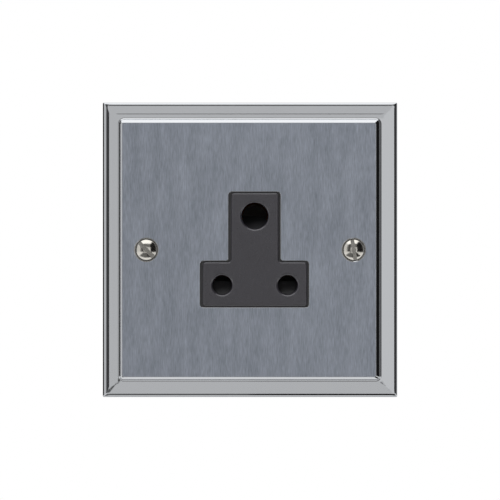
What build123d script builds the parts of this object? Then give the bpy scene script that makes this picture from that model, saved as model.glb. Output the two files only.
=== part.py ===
from build123d import *
import os
from math import radians, sqrt, tan

# A one-gang wall socket for a three-round-pin plug. Millimetres, +X right, +Z up, the room is towards -Y.
# The origin is the centre of the plate on the wall, so y = 0 is the wall's surface.

# Face plate: a gently sloped band around a raised field
plate_size = 86.0
plate_depth = 6.0
plate_wall = 1.8
rim_width = 2.0
border_width = 5.2
band_fall = 0.4
band_edge_radius = 1.2
field_rise = 2.0
field_corner = 1.0
field_edge_bevel = 0.65
field_foot_width = 1.05
field_foot_radius = 1.0

# Plate screws
screw_spacing = 60.3
screw_radius = 1.75
screw_length = 25.0
screw_neck_relief = 0.25
screw_neck_past_plate = 0.5
screw_tip_chamfer = 0.5
screw_head_radius = 3.05
screw_head_rise = 1.05
screw_head_edge = 0.15
screw_slot_width = 1.1
screw_slot_depth = 1.0
screw_slot_angles = (45.0, 9.0)
screw_hole_clearance = 0.25
countersink_margin = 0.45
countersink_angle = 90.0
head_seat_clearance = 0.07

# Plug pins, and their places on the socket
line_pin_radius = 2.54
line_pin_length = 14.9
earth_pin_radius = 3.53
earth_pin_length = 20.6
pin_spacing = 19.05
earth_to_line = 22.23
socket_x = 1.42
pattern_z = -0.2
guide_clearance = 0.26
guide_relief = 0.4
guide_edge_radius = 0.75

# T-shaped insert: the margins are from the rim of a pin hole to the insert's edge
insert_base_margin = 2.05
insert_stem_margin = 2.34
insert_top_margin = 2.1
insert_bottom_margin = 2.56
insert_shoulder_margin = 3.1
insert_side_gap = 0.62
insert_end_gap = 0.35
insert_shift = 0.11
insert_proud = 0.3
insert_edge_radius = 0.45
insert_corner = 0.9

# Front moulding behind the plate
plate_gap = 0.2
flange_wall = 0.8
mould_height = 43.0
mould_corner = 3.0
mould_edge_radius = 0.5

# Shutter, its cavity and its spring
shutter_thickness = 3.8
shutter_play = 0.2
shutter_side_play = 0.25
shutter_stem_width = 7.0
blade_side_cover = 0.5
blade_low_cover = 0.1
blade_above_pin = 1.1
blade_set_back = 1.8
blade_pass_clearance = 0.16
cam_pass_clearance = 0.32
slot_width = 3.4
slot_floor = 1.14
slot_roof = 2.0
peg_height = 2.0
peg_play = 0.2
spring_wire_radius = 0.18
spring_side_play = 0.22
spring_turns = 8
spring_end_gap = 0.05

# Insulating plate and rear moulding
insulator_thickness = 0.8
insulator_hole_clearance = 0.3
base_slab = 5.2
base_back_wall = 2.5
tower_wall = 1.5
rail_wall = 1.5
pocket_clearance = 0.2
sleeve_pocket_clearance = 0.3

# Contact sleeves, their grip springs and tails
sleeve_clearance = 0.02
sleeve_wall = 0.6
sleeve_lead_in = 0.35
sleeve_split = 0.8
sleeve_overrun = 1.2
tail_step = 0.4
tail_thickness = 0.8
tail_width = 5.0
tail_margin = 2.4
grip_step = 1.2
grip_width = 2.0
grip_wall = 0.5
grip_gap = 2.6
grip_clearance = 0.02

# Tunnel terminals and their screws
terminal_gap = 0.4
terminal_width = 6.2
terminal_height = 7.0
terminal_depth = 9.0
tunnel_radius = 2.0
tunnel_depth = 4.4
wire_entry_clearance = 0.3
rivet_radius = 1.0
rivet_head_radius = 1.6
rivet_head_height = 0.3
rivet_front_gap = 0.1
rivet_clearance = 0.03
terminal_screw_radius = 1.75
terminal_screw_head_radius = 2.4
terminal_screw_head_height = 1.6
terminal_screw_back_off = 0.4
terminal_screw_lift = 0.6
access_clearance = 0.3
thread_clearance = 0.04

# Screws that join the mouldings, and screws that hold the mechanism to the plate
housing_screw_radius = 1.45
housing_screw_bite = 3.2
housing_screw_head_radius = 2.7
housing_screw_head_height = 1.9
housing_screw_seat = 5.7
housing_screw_clearance = 0.2
pilot_spare = 0.4
ear_width = 9.0
ear_corner = 2.5
ear_thickness = 2.2
ear_past_screw = 4.6
post_radius = 3.0
mechanism_screw_radius = 1.5
mechanism_screw_tip_gap = 0.6
mechanism_screw_head_radius = 2.75
mechanism_screw_head_height = 1.9
mechanism_screw_clearance = 0.2
small_slot_width = 0.8
small_slot_depth = 0.9
small_slot_angle = 25.0
washer_thickness = 0.5
washer_radius = 2.9
washer_clearance = 0.1

# Earth strap
strap_width = 5.0
strap_thickness = 0.6
strap_groove_clearance = 0.2
strap_tail_overlap = 2.3
strap_end_past_screw = 3.0
strap_bend_start = 0.5
strap_washer_gap = 0.4

# Plate sizes worked out from those above
field_size = plate_size - 2 * border_width
band_inner_height = plate_depth - field_rise
band_outer_height = band_inner_height - band_fall
screw_neck_radius = screw_radius - screw_neck_relief
screw_hole_radius = screw_radius + screw_hole_clearance
countersink_radius = screw_head_radius + countersink_margin

# Pin holes, and the insert and opening around them
pin_rise = sqrt(earth_to_line**2 - (pin_spacing / 2) ** 2)
earth_z = pattern_z + pin_rise / 2
pin_z = pattern_z - pin_rise / 2
line_hole_radius = line_pin_radius + guide_clearance
line_rim_radius = line_hole_radius + guide_edge_radius
earth_rim_radius = earth_pin_radius + guide_clearance + guide_edge_radius
insert_base_width = pin_spacing + 2 * (line_rim_radius + insert_base_margin)
insert_stem_width = 2 * (earth_rim_radius + insert_stem_margin)
insert_top = earth_z + earth_rim_radius + insert_top_margin
insert_shoulder = pin_z + line_rim_radius + insert_shoulder_margin
insert_bottom = pin_z - line_rim_radius - insert_bottom_margin
opening_x = socket_x - insert_shift

# Depths, from the plate's front face into the wall
plate_front_y = -plate_depth
plate_back_y = plate_front_y + plate_wall
band_back_y = plate_wall - band_outer_height
insert_face_y = plate_front_y - insert_proud
flange_front_y = plate_back_y + plate_gap
cavity_front_y = flange_front_y + flange_wall
shutter_front_y = cavity_front_y + shutter_play
shutter_back_y = shutter_front_y + shutter_thickness
mould_back_y = shutter_back_y + shutter_play
base_front_y = mould_back_y + insulator_thickness
slab_back_y = base_front_y + base_slab
tail_front_y = base_front_y + rivet_front_gap + rivet_head_height + strap_thickness
mouth_y = tail_front_y - tail_step
strap_front_y = tail_front_y - strap_thickness
terminal_front_y = tail_front_y + tail_thickness
terminal_back_y = terminal_front_y + terminal_depth
tunnel_y = terminal_front_y + tunnel_depth
terminal_floor_y = terminal_back_y + pocket_clearance
rail_back_y = terminal_floor_y + base_back_wall
housing_seat_y = base_front_y + housing_screw_seat
ear_back_y = mould_back_y
ear_front_y = ear_back_y - ear_thickness

# Shutter: the blades pass below the line pin, and the cam below the earth pin, at full travel
shutter_travel = line_pin_radius + blade_above_pin + blade_pass_clearance
blade_width = pin_spacing + 2 * (line_hole_radius + blade_side_cover)
blade_top = pin_z + blade_above_pin
blade_bottom = pin_z - line_hole_radius - blade_low_cover
cam_top = earth_z - earth_pin_radius + shutter_travel - cam_pass_clearance
slot_low = blade_top + slot_floor
slot_high = cam_top - shutter_thickness - slot_roof
peg_top = slot_low + peg_play + peg_height
spring_radius = slot_width / 2 - spring_wire_radius - spring_side_play
spring_bottom = peg_top + spring_wire_radius + spring_end_gap
spring_height = slot_high - spring_end_gap - spring_wire_radius - spring_bottom

# Terminals beside the sleeves, rails around the terminals, ears above and below the mouldings
grip_reach = line_pin_radius + sleeve_clearance + sleeve_wall + grip_clearance + grip_wall
terminal_reach = pin_spacing / 2 + grip_reach + terminal_gap + terminal_width / 2
rail_width = terminal_width + 2 * (pocket_clearance + rail_wall)
rail_height = pin_rise + terminal_height + 2 * (pocket_clearance + rail_wall)
mould_width = 2 * terminal_reach + rail_width
strap_drop = strap_front_y - ear_back_y
ear_reach = strap_bend_start + strap_drop + strap_washer_gap + washer_radius
ear_length = ear_reach + ear_past_screw
ear_places = [
    (socket_x + terminal_reach, pattern_z + mould_height / 2 + ear_reach),
    (socket_x - terminal_reach, pattern_z - mould_height / 2 - ear_reach),
]
ear_sides = (1, -1)
housing_screw_places = [(socket_x + side * terminal_reach, pattern_z) for side in ear_sides]

# Each pin: its x and z, its radius and length, and the side that its terminal lies on
pins = {
    "line": (socket_x + pin_spacing / 2, pin_z, line_pin_radius, line_pin_length, 1),
    "neutral": (socket_x - pin_spacing / 2, pin_z, line_pin_radius, line_pin_length, -1),
    "earth": (socket_x, earth_z, earth_pin_radius, earth_pin_length, 1),
}


def at_depth(y):
    """The upright plane at that y, facing the room, with X to the right and Z up."""
    return Plane.XZ.offset(-y)


def turning_plane(x, z):
    """The plane of a turned piece's half section: radius along X, depth along Y."""
    return Plane(origin=(x, 0, z), x_dir=(1, 0, 0), z_dir=(0, 0, 1))


def turning_axis(x, z):
    """The axis, straight into the wall, of a turned piece."""
    return Axis((x, 0, z), (0, 1, 0))


def t_points(base_width, stem_width, bottom, shoulder, top):
    """Corners of an upside-down T, centred on its stem."""
    base, stem = base_width / 2, stem_width / 2
    return [
        (-base, bottom),
        (base, bottom),
        (base, shoulder),
        (stem, shoulder),
        (stem, top),
        (-stem, top),
        (-stem, shoulder),
        (-base, shoulder),
    ]


def sleeve_outer(pin_radius):
    """Outside radius of the sleeve for a pin."""
    return pin_radius + sleeve_clearance + sleeve_wall


def sleeve_end_y(pin_length):
    """Depth of the sleeve's rear end, just past the tip of a fully inserted pin."""
    return insert_face_y + pin_length + sleeve_overrun


def sleeve_pocket_radius(pin_radius):
    """Radius of the pocket that holds a sleeve with its grip spring."""
    return sleeve_outer(pin_radius) + grip_clearance + grip_wall + sleeve_pocket_clearance


# Face plate: tray, sloped band and raised field, hollow behind
with BuildPart() as face_plate:
    with BuildSketch(at_depth(0)):
        Rectangle(plate_size, plate_size)
    extrude(amount=band_outer_height)
    with BuildSketch(at_depth(-band_outer_height)):
        Rectangle(plate_size, plate_size)
    with BuildSketch(at_depth(-band_inner_height)):
        Rectangle(field_size + 2 * field_foot_width, field_size + 2 * field_foot_width)
    loft(ruled=True)
    outer_edges = face_plate.edges().filter_by_position(Axis.Y, -band_outer_height, -band_outer_height)
    fillet(outer_edges, radius=band_edge_radius)
    with BuildSketch(at_depth(-band_inner_height)):
        RectangleRounded(field_size, field_size, field_corner)
    extrude(amount=plate_depth - band_inner_height)
    foot_edges = face_plate.edges(Select.LAST).filter_by_position(
        Axis.Y, -band_inner_height, -band_inner_height
    )
    fillet(foot_edges, radius=field_foot_radius)
    chamfer(face_plate.faces().sort_by(Axis.Y)[0].edges(), length=field_edge_bevel)
    with BuildSketch(at_depth(0)):
        Rectangle(plate_size - 2 * rim_width, plate_size - 2 * rim_width)
    extrude(amount=-band_back_y, mode=Mode.SUBTRACT)
    with BuildSketch(at_depth(0)):
        Rectangle(field_size - 2 * plate_wall, field_size - 2 * plate_wall)
    extrude(amount=-plate_back_y, mode=Mode.SUBTRACT)
    with BuildSketch(at_depth(ear_front_y)):
        with Locations(*ear_places):
            Circle(post_radius)
    extrude(amount=ear_front_y - plate_back_y)
    with BuildSketch(at_depth(ear_front_y)):
        with Locations(*ear_places):
            Circle(mechanism_screw_radius + thread_clearance)
    extrude(amount=ear_front_y - plate_back_y, mode=Mode.SUBTRACT)
    with BuildSketch(at_depth(plate_back_y)):
        with BuildLine(Location((opening_x, 0))):
            Polyline(
                *t_points(
                    insert_base_width + 2 * insert_side_gap,
                    insert_stem_width + 2 * insert_side_gap,
                    insert_bottom - insert_end_gap,
                    insert_shoulder + insert_end_gap,
                    insert_top + insert_end_gap,
                ),
                close=True,
            )
        make_face()
        fillet(vertices(), radius=insert_corner)
    extrude(amount=plate_wall, mode=Mode.SUBTRACT)
    with Locations(at_depth(plate_front_y)):
        with GridLocations(screw_spacing, 0, 2, 1):
            CounterSinkHole(screw_hole_radius, countersink_radius, counter_sink_angle=countersink_angle)

# Plate screws: raised countersunk heads, each slot left where the screwdriver left it
countersink_slope = tan(radians(countersink_angle / 2))
screw_cone_drop = (countersink_radius - screw_head_radius) / countersink_slope
screw_cone_y = plate_front_y + screw_cone_drop - head_seat_clearance
screw_rim_y = screw_cone_y - screw_head_edge
screw_dome_y = screw_rim_y - screw_head_rise
screw_neck_y = screw_cone_y + (screw_head_radius - screw_neck_radius) / countersink_slope
screw_thread_y = plate_back_y + screw_neck_past_plate
screw_tip_y = plate_front_y + screw_length
with BuildPart() as plate_screws:
    for x, slot_angle in zip((-screw_spacing / 2, screw_spacing / 2), screw_slot_angles):
        with BuildSketch(turning_plane(x, 0)):
            with BuildLine():
                TangentArc((0, screw_dome_y), (screw_head_radius, screw_rim_y), tangent=(1, 0))
                Polyline(
                    (screw_head_radius, screw_rim_y),
                    (screw_head_radius, screw_cone_y),
                    (screw_neck_radius, screw_neck_y),
                    (screw_neck_radius, screw_thread_y),
                    (screw_radius, screw_thread_y),
                    (screw_radius, screw_tip_y - screw_tip_chamfer),
                    (screw_radius - screw_tip_chamfer, screw_tip_y),
                    (0, screw_tip_y),
                    (0, screw_dome_y),
                )
            make_face()
        revolve(axis=turning_axis(x, 0))
        with BuildSketch(at_depth(screw_dome_y)):
            with Locations((x, 0)):
                Rectangle(screw_slot_width, 2 * countersink_radius, rotation=slot_angle)
        extrude(amount=-screw_slot_depth, mode=Mode.SUBTRACT)

# Front moulding: T boss with the pin holes, square body with the shutter's cavity, and two ears
cavity_bottom = blade_bottom - shutter_travel - shutter_side_play
cavity_shoulder = blade_top + shutter_side_play
cavity_top = cam_top + shutter_side_play
with BuildPart() as socket_front:
    with BuildSketch(at_depth(mould_back_y)):
        with Locations((socket_x, pattern_z)):
            RectangleRounded(mould_width, mould_height, mould_corner)
    extrude(amount=mould_back_y - flange_front_y)
    with BuildSketch(at_depth(flange_front_y)):
        with BuildLine(Location((socket_x, 0))):
            Polyline(
                *t_points(
                    insert_base_width,
                    insert_stem_width,
                    insert_bottom,
                    insert_shoulder,
                    insert_top,
                ),
                close=True,
            )
        make_face()
        fillet(vertices(), radius=insert_corner)
    extrude(amount=flange_front_y - insert_face_y)
    fillet(socket_front.faces().sort_by(Axis.Y)[0].edges(), radius=insert_edge_radius)
    for (x, z), side in zip(ear_places, ear_sides):
        with BuildSketch(at_depth(ear_back_y)):
            with Locations((x, z + side * (ear_past_screw - ear_length / 2 - mould_corner / 2))):
                RectangleRounded(ear_width, ear_length + mould_corner, ear_corner)
            with Locations((x, z)):
                Circle(mechanism_screw_radius + mechanism_screw_clearance, mode=Mode.SUBTRACT)
        extrude(amount=ear_thickness)
    with BuildSketch(at_depth(mould_back_y)):
        with Locations((socket_x, (cavity_bottom + cavity_top) / 2)):
            Rectangle(shutter_stem_width + 2 * shutter_side_play, cavity_top - cavity_bottom)
        with Locations((socket_x, (cavity_bottom + cavity_shoulder) / 2)):
            Rectangle(blade_width + 2 * shutter_side_play, cavity_shoulder - cavity_bottom)
        for x, z, pin_radius, pin_length, side in pins.values():
            with Locations((x, z)):
                Circle(pin_radius + guide_clearance + guide_relief)
    extrude(amount=mould_back_y - cavity_front_y, mode=Mode.SUBTRACT)
    with BuildSketch(at_depth(cavity_front_y)):
        with Locations((socket_x, peg_top - peg_height / 2)):
            Rectangle(slot_width - 2 * peg_play, peg_height)
    extrude(amount=-(mould_back_y - cavity_front_y - 2 * shutter_play))
    with BuildSketch(at_depth(insert_face_y)):
        for x, z, pin_radius, pin_length, side in pins.values():
            with Locations((x, z)):
                Circle(pin_radius + guide_clearance)
    extrude(amount=-(cavity_front_y - insert_face_y), mode=Mode.SUBTRACT)
    face_edges = socket_front.edges().filter_by_position(Axis.Y, insert_face_y, insert_face_y)
    hole_rims = [edge for edge in face_edges.filter_by(GeomType.CIRCLE) if edge.radius > line_pin_radius]
    fillet(hole_rims, radius=guide_edge_radius)
    with BuildSketch(at_depth(mould_back_y)):
        with Locations(*housing_screw_places):
            Circle(housing_screw_radius + thread_clearance)
    extrude(amount=housing_screw_bite + pilot_spare, mode=Mode.SUBTRACT)

# Shutter: a slider with a cam in the earth pin's way and blades behind the line and neutral holes
with BuildPart() as shutter:
    with BuildSketch(at_depth(shutter_back_y)):
        with Locations((socket_x, (blade_bottom + cam_top) / 2)):
            Rectangle(shutter_stem_width, cam_top - blade_bottom)
        with Locations((socket_x, (blade_bottom + blade_top) / 2)):
            Rectangle(blade_width, blade_top - blade_bottom)
        with Locations((socket_x, (slot_low + slot_high) / 2)):
            Rectangle(slot_width, slot_high - slot_low, mode=Mode.SUBTRACT)
    extrude(amount=shutter_thickness)
    with BuildSketch(Plane.YZ.offset(socket_x)):
        with BuildLine():
            Polyline(
                (shutter_front_y, cam_top - shutter_thickness),
                (shutter_back_y, cam_top),
                (shutter_front_y, cam_top),
                close=True,
            )
        make_face()
        with BuildLine():
            Polyline(
                (shutter_front_y, blade_bottom),
                (shutter_front_y + blade_set_back, blade_top),
                (shutter_front_y, blade_top),
                close=True,
            )
        make_face()
    extrude(amount=blade_width / 2, both=True, mode=Mode.SUBTRACT)

# Shutter spring: between the fixed peg and the top of the shutter's slot
with BuildPart() as shutter_spring:
    with BuildLine() as coil:
        Helix(
            pitch=spring_height / spring_turns,
            height=spring_height,
            radius=spring_radius,
            center=(socket_x, (shutter_front_y + shutter_back_y) / 2, spring_bottom),
        )
    with BuildSketch(Plane(origin=coil.line @ 0, z_dir=coil.line % 0)):
        Circle(spring_wire_radius)
    sweep()

# Insulating plate: closes the shutter's cavity in front of the live parts
with BuildPart() as insulating_plate:
    with BuildSketch(at_depth(base_front_y)):
        with Locations((socket_x, pattern_z)):
            RectangleRounded(mould_width, mould_height, mould_corner)
        for x, z, pin_radius, pin_length, side in pins.values():
            with Locations((x, z)):
                Circle(pin_radius + guide_clearance + insulator_hole_clearance, mode=Mode.SUBTRACT)
        with Locations(*housing_screw_places):
            Circle(housing_screw_radius + housing_screw_clearance, mode=Mode.SUBTRACT)
    extrude(amount=insulator_thickness)

# Rear moulding: slab, a rail each side for the terminals, a round tower for each sleeve
with BuildPart() as socket_base:
    with BuildSketch(at_depth(slab_back_y)):
        with Locations((socket_x, pattern_z)):
            RectangleRounded(mould_width, mould_height, mould_corner)
    extrude(amount=base_slab)
    with BuildSketch(at_depth(slab_back_y)):
        with Locations((socket_x, pattern_z)):
            with GridLocations(mould_width - rail_width, 0, 2, 1):
                Rectangle(rail_width, rail_height)
    extrude(amount=-(rail_back_y - slab_back_y))
    for x, z, pin_radius, pin_length, side in pins.values():
        pocket_radius = sleeve_pocket_radius(pin_radius)
        pocket_floor_y = sleeve_end_y(pin_length) + sleeve_pocket_clearance
        with BuildSketch(at_depth(slab_back_y)):
            with Locations((x, z)):
                Circle(pocket_radius + tower_wall)
        extrude(amount=-(pocket_floor_y + tower_wall - slab_back_y))
    back_steps = socket_base.faces().filter_by(Axis.Y).group_by(Axis.Y)
    fillet(back_steps[-1].edges() + back_steps[-2].edges(), radius=mould_edge_radius)
    for x, z, pin_radius, pin_length, side in pins.values():
        pocket_radius = sleeve_pocket_radius(pin_radius)
        pocket_floor_y = sleeve_end_y(pin_length) + sleeve_pocket_clearance
        terminal_x = socket_x + side * terminal_reach
        with BuildSketch(at_depth(base_front_y)):
            with Locations((x, z)):
                Circle(pocket_radius)
        extrude(amount=-(pocket_floor_y - base_front_y), mode=Mode.SUBTRACT)
        with BuildSketch(at_depth(base_front_y)):
            with Locations(((x + terminal_x) / 2, z)):
                Rectangle(abs(terminal_x - x), tail_width + 2 * pocket_clearance)
        extrude(amount=-(terminal_front_y + pocket_clearance - base_front_y), mode=Mode.SUBTRACT)
        with BuildSketch(at_depth(base_front_y)):
            with Locations((terminal_x, z)):
                Rectangle(
                    terminal_width + 2 * pocket_clearance,
                    terminal_height + 2 * pocket_clearance,
                )
        extrude(amount=-(terminal_floor_y - base_front_y), mode=Mode.SUBTRACT)
        with BuildSketch(at_depth(rail_back_y)):
            with Locations((terminal_x, z)):
                Circle(terminal_screw_head_radius + access_clearance)
        extrude(amount=base_back_wall, mode=Mode.SUBTRACT)
        with BuildSketch(Plane.YZ.offset(terminal_x)):
            with Locations((tunnel_y, z)):
                Circle(tunnel_radius + wire_entry_clearance)
        extrude(amount=side * mould_width / 2, mode=Mode.SUBTRACT)
    with BuildSketch(at_depth(base_front_y)):
        with Locations((socket_x + terminal_reach, earth_z + mould_height / 2)):
            Rectangle(strap_width + 2 * strap_groove_clearance, mould_height)
    extrude(amount=-(tail_front_y + strap_groove_clearance - base_front_y), mode=Mode.SUBTRACT)
    with BuildSketch(at_depth(rail_back_y)):
        with Locations(*housing_screw_places):
            Circle(housing_screw_head_radius + access_clearance)
    extrude(amount=rail_back_y - housing_seat_y, mode=Mode.SUBTRACT)
    with BuildSketch(at_depth(rail_back_y)):
        with Locations(*housing_screw_places):
            Circle(housing_screw_radius + housing_screw_clearance)
    extrude(amount=rail_back_y - base_front_y, mode=Mode.SUBTRACT)


def contact_sleeve(x, z, pin_radius, pin_length, side):
    """A split sleeve rolled from strip, with a flat tail that runs out to its terminal."""
    outer = sleeve_outer(pin_radius)
    inner = pin_radius + sleeve_clearance
    tail_end = socket_x + side * (terminal_reach + tail_margin)
    with BuildPart() as contact:
        with BuildSketch(at_depth(mouth_y)):
            with Locations((x, z)):
                Circle(outer)
        extrude(amount=-(sleeve_end_y(pin_length) - mouth_y))
        with BuildSketch(at_depth(tail_front_y)):
            with Locations(((x + tail_end) / 2, z)):
                Rectangle(abs(tail_end - x), tail_width)
            with Locations((socket_x + side * terminal_reach, z)):
                Circle(rivet_radius + rivet_clearance, mode=Mode.SUBTRACT)
        extrude(amount=-tail_thickness)
        with BuildSketch(at_depth(mouth_y)):
            with Locations((x, z)):
                Circle(inner)
            with Locations((x - side * outer, z)):
                Rectangle(2 * outer, sleeve_split)
        extrude(amount=-(sleeve_end_y(pin_length) - mouth_y), mode=Mode.SUBTRACT)
        mouth_edges = contact.edges().filter_by_position(Axis.Y, mouth_y, mouth_y).filter_by(GeomType.CIRCLE)
        chamfer(mouth_edges.sort_by(SortBy.RADIUS)[0], length=sleeve_lead_in)
    return contact.part


def grip_spring(x, z, pin_radius, side):
    """A split spring ring that closes a sleeve on its pin."""
    inner = sleeve_outer(pin_radius) + grip_clearance
    outer = inner + grip_wall
    with BuildPart() as ring:
        with BuildSketch(at_depth(terminal_front_y + grip_step)):
            with Locations((x, z)):
                Circle(outer)
                Circle(inner, mode=Mode.SUBTRACT)
            with Locations((x - side * outer, z)):
                Rectangle(2 * outer - 2 * grip_wall, grip_gap, mode=Mode.SUBTRACT)
        extrude(amount=-grip_width)
    return ring.part


def tunnel_terminal(z, side, riveted):
    """A drawn block with a wire tunnel, a tapped screw hole and a rivet through what it carries."""
    x = socket_x + side * terminal_reach
    with BuildPart() as terminal:
        with BuildSketch(at_depth(terminal_back_y)):
            with Locations((x, z)):
                Rectangle(terminal_width, terminal_height)
        extrude(amount=terminal_depth)
        with BuildSketch(at_depth(terminal_front_y)):
            with Locations((x, z)):
                Circle(rivet_radius)
        extrude(amount=riveted)
        with BuildSketch(at_depth(terminal_front_y - riveted)):
            with Locations((x, z)):
                Circle(rivet_head_radius)
        extrude(amount=rivet_head_height)
        with BuildSketch(Plane.YZ.offset(x)):
            with Locations((tunnel_y, z)):
                Circle(tunnel_radius)
        extrude(amount=terminal_width / 2, both=True, mode=Mode.SUBTRACT)
        with BuildSketch(at_depth(terminal_back_y)):
            with Locations((x, z)):
                Circle(terminal_screw_radius + thread_clearance)
        extrude(amount=terminal_back_y - tunnel_y, mode=Mode.SUBTRACT)
    return terminal.part


contacts, grip_springs, terminals = {}, {}, {}
for pin, (x, z, pin_radius, pin_length, side) in pins.items():
    riveted = tail_thickness + (strap_thickness if pin == "earth" else 0)
    contacts[pin] = contact_sleeve(x, z, pin_radius, pin_length, side)
    grip_springs[pin] = grip_spring(x, z, pin_radius, side)
    terminals[pin] = tunnel_terminal(z, side, riveted)


def slotted_screw(x, z, head_y, head_radius, head_height, shank_radius, tip_y):
    """A cheese-head screw driven towards the room: the underside of its head is at head_y."""
    top_y = head_y + head_height
    with BuildPart() as screw:
        with BuildSketch(at_depth(top_y)):
            with Locations((x, z)):
                Circle(head_radius)
        extrude(amount=head_height)
        with BuildSketch(at_depth(head_y)):
            with Locations((x, z)):
                Circle(shank_radius)
        extrude(amount=head_y - tip_y)
        with BuildSketch(at_depth(top_y)):
            with Locations((x, z)):
                Rectangle(2 * head_radius, small_slot_width, rotation=small_slot_angle)
        extrude(amount=small_slot_depth, mode=Mode.SUBTRACT)
    return screw.part


# Terminal screws, backed off so that a wire can be pushed in
wire_screws = [
    slotted_screw(
        socket_x + side * terminal_reach,
        z,
        terminal_back_y + terminal_screw_lift,
        terminal_screw_head_radius,
        terminal_screw_head_height,
        terminal_screw_radius,
        tunnel_y + tunnel_radius + terminal_screw_back_off,
    )
    for x, z, pin_radius, pin_length, side in pins.values()
]
with BuildPart() as terminal_screws:
    add(wire_screws)

# Housing screws, through the rear moulding into the front one
joining_screws = [
    slotted_screw(
        x,
        z,
        housing_seat_y,
        housing_screw_head_radius,
        housing_screw_head_height,
        housing_screw_radius,
        mould_back_y - housing_screw_bite,
    )
    for x, z in housing_screw_places
]
with BuildPart() as housing_screws:
    add(joining_screws)

# Mechanism screws and their washers: the upper one also holds the earth strap
washer_seats = [ear_back_y + strap_thickness, ear_back_y]
ear_screws = [
    slotted_screw(
        x,
        z,
        seat_y + washer_thickness,
        mechanism_screw_head_radius,
        mechanism_screw_head_height,
        mechanism_screw_radius,
        plate_back_y + mechanism_screw_tip_gap,
    )
    for (x, z), seat_y in zip(ear_places, washer_seats)
]
with BuildPart() as mechanism_screws:
    add(ear_screws)

with BuildPart() as lock_washers:
    for (x, z), seat_y in zip(ear_places, washer_seats):
        with BuildSketch(at_depth(seat_y + washer_thickness)):
            with Locations((x, z)):
                Circle(washer_radius)
                Circle(mechanism_screw_radius + washer_clearance, mode=Mode.SUBTRACT)
        extrude(amount=washer_thickness)

# Earth strap: from the earth terminal's rivet up to the ear, joggled forward to lie on it
strap_x = socket_x + terminal_reach
strap_top = ear_places[0][1] + strap_end_past_screw
strap_bend_z = pattern_z + mould_height / 2 + strap_bend_start
with BuildPart() as earth_strap:
    with BuildSketch(Plane.YZ.offset(strap_x)):
        with BuildLine():
            Polyline(
                (strap_front_y + strap_thickness / 2, earth_z - strap_tail_overlap),
                (strap_front_y + strap_thickness / 2, strap_bend_z),
                (ear_back_y + strap_thickness / 2, strap_bend_z + strap_drop),
                (ear_back_y + strap_thickness / 2, strap_top),
            )
        trace(line_width=strap_thickness)
    extrude(amount=strap_width / 2, both=True)
    with BuildSketch(at_depth(tail_front_y)):
        with Locations((strap_x, earth_z)):
            Circle(rivet_radius + rivet_clearance)
    extrude(amount=strap_thickness, mode=Mode.SUBTRACT)
    with BuildSketch(at_depth(ear_back_y + strap_thickness)):
        with Locations(ear_places[0]):
            Circle(mechanism_screw_radius + mechanism_screw_clearance)
    extrude(amount=strap_thickness, mode=Mode.SUBTRACT)

# One file for each piece
pieces = {
    "face_plate": face_plate.part,
    "plate_screws": plate_screws.part,
    "socket_front": socket_front.part,
    "shutter": shutter.part,
    "shutter_spring": shutter_spring.part,
    "insulating_plate": insulating_plate.part,
    "socket_base": socket_base.part,
    "terminal_screws": terminal_screws.part,
    "housing_screws": housing_screws.part,
    "mechanism_screws": mechanism_screws.part,
    "lock_washers": lock_washers.part,
    "earth_strap": earth_strap.part,
}
for pin in pins:
    pieces[f"{pin}_contact"] = contacts[pin]
    pieces[f"{pin}_grip_spring"] = grip_springs[pin]
    pieces[f"{pin}_terminal"] = terminals[pin]

os.makedirs("parts", exist_ok=True)
for name, piece in pieces.items():
    piece.label = name
    export_step(piece, f"parts/{name}.step")
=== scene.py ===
# %% [markdown]
# A round pin wall socket
#
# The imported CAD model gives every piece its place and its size. This lesson dresses those pieces for a
# studio picture: a polished border, a brushed field, a black insert, plated screws and the brass works
# behind. The first cell loads the model as a fixed frame. Everything after it is made in that same
# frame, in metres, with +X to the right, +Y into the wall and +Z up. Sizes are written in millimetres
# and multiplied by MM.

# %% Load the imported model
from math import atan, atan2, cos, pi, radians, sin

import bmesh
import bpy
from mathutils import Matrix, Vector


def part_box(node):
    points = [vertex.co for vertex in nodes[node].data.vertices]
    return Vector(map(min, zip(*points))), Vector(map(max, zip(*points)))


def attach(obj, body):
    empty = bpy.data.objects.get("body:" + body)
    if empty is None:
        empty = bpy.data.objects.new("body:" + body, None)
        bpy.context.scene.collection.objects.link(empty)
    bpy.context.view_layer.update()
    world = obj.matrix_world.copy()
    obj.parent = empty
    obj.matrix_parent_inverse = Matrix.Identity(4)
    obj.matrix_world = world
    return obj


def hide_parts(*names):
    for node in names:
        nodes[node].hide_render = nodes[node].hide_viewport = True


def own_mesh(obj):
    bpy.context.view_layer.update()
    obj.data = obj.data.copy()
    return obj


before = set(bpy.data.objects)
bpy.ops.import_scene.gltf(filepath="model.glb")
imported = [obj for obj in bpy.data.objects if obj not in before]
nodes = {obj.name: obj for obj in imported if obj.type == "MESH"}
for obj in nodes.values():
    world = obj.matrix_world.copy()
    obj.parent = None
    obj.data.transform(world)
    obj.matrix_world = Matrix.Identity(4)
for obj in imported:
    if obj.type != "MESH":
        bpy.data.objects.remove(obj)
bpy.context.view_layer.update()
scene = bpy.context.scene
scene.view_settings.view_transform = "Standard"
MM = 0.001
print("pieces in the frame:", len(nodes))

# %% [markdown]
# The camera
#
# The picture looks straight at the plate with almost no perspective, as a long lens gives from across a
# room. A lens of 185 mm on a 36 mm sensor does the same. The distance then follows from how wide the
# view is at the plate, so that width is the number to change if the plate comes out too large or too
# small.

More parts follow.
